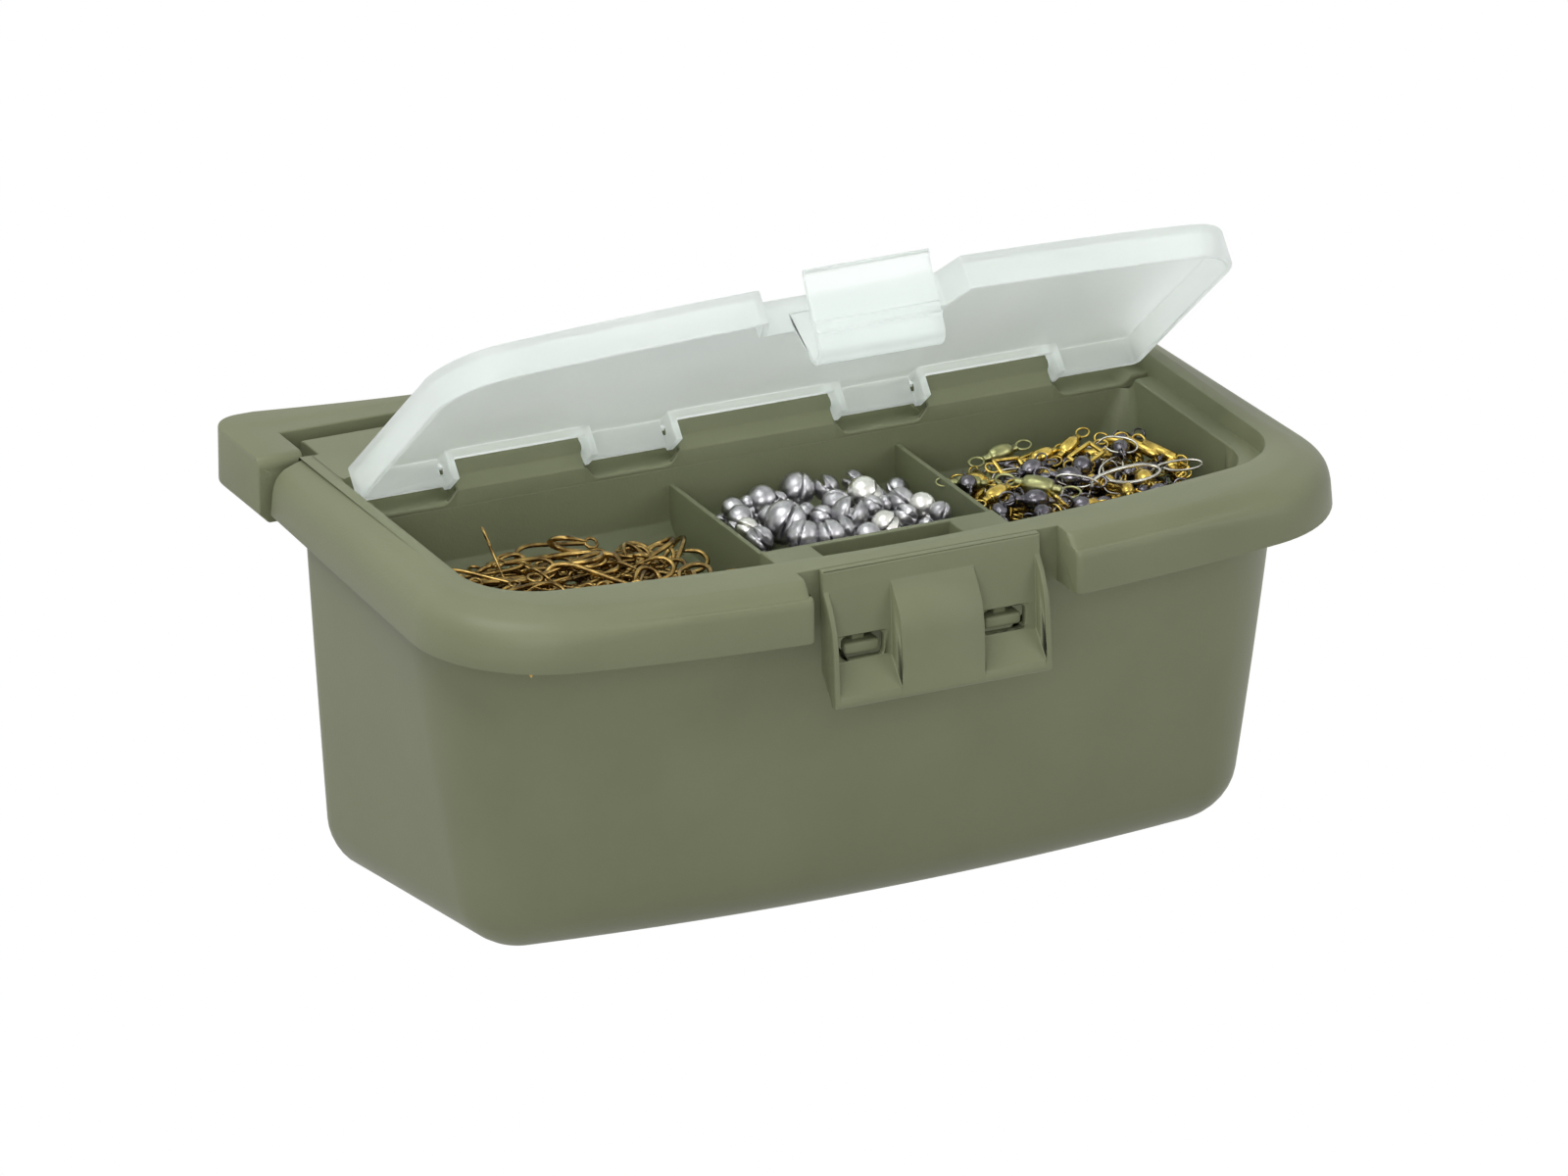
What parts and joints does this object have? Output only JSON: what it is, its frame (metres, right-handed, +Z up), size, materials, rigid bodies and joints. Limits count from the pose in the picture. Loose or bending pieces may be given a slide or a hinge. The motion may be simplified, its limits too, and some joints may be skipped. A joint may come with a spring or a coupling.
{
  "type": "belt bait box",
  "caption": "Rectangular moulded bin with a hinged tray lid, a propped clear lid over its compartments, a front latch and a rear loop.",
  "frame": {"origin": "middle of the bin's flat underside", "axes": "+X along the box to the viewer's right, +Y towards the wearer's side with the loop, +Z up"},
  "size_m": [0.213, 0.1455, 0.1455],
  "materials": {
    "olive_plastic": "fine moulded grain",
    "clear_plastic": "translucent natural plastic, satin",
    "bronze_wire": "bronzed wire",
    "lead": "dull grey lead",
    "bright_tin": "bright tin",
    "brass": "polished brass",
    "black_nickel": "black nickel",
    "olive_lacquer": "olive lacquer on brass",
    "bright_wire": "bright wire"
  },
  "bodies": {
    "bin": {"bin": "olive_plastic"},
    "tray_lid": {"tray_lid": "olive_plastic", "hooks_lower": "bronze_wire", "hooks_middle": "bronze_wire", "hooks_upper": "bronze_wire", "split_shot_lower": "lead", "split_shot_upper": "lead", "split_shot_bright": "bright_tin", "swivels_brass": "brass", "swivels_black": "black_nickel", "swivels_olive": "olive_lacquer", "snap_clips": "bright_wire"},
    "front_latch": {"front_latch": "olive_plastic"},
    "clear_lid": {"clear_lid": "clear_plastic"},
    "lid_clasp": {"lid_clasp": "clear_plastic"}
  },
  "joints": [
    {"name": "tray_lid_hinge", "type": "hinge", "parent": "bin", "child": "tray_lid", "pos_m": [0, 0.057, 0.084], "axis": [-1, 0, 0], "range_deg": [0, 95]},
    {"name": "clear_lid_hinge", "type": "hinge", "parent": "tray_lid", "child": "clear_lid", "pos_m": [0, 0.0302, 0.0898], "axis": [-1, 0, 0], "range_deg": [-40.5, 45]},
    {"name": "latch_flex", "type": "hinge", "parent": "tray_lid", "child": "front_latch", "pos_m": [0, -0.0561, 0.09], "axis": [-1, 0, 0], "range_deg": [0, 15], "stiffness_Nm_per_rad": 0.6},
    {"name": "clasp_flex", "type": "hinge", "parent": "clear_lid", "child": "lid_clasp", "pos_m": [0, -0.03382, 0.12633], "axis": [-1, 0, 0], "range_deg": [0, 8], "stiffness_Nm_per_rad": 0.3}
  ]
}
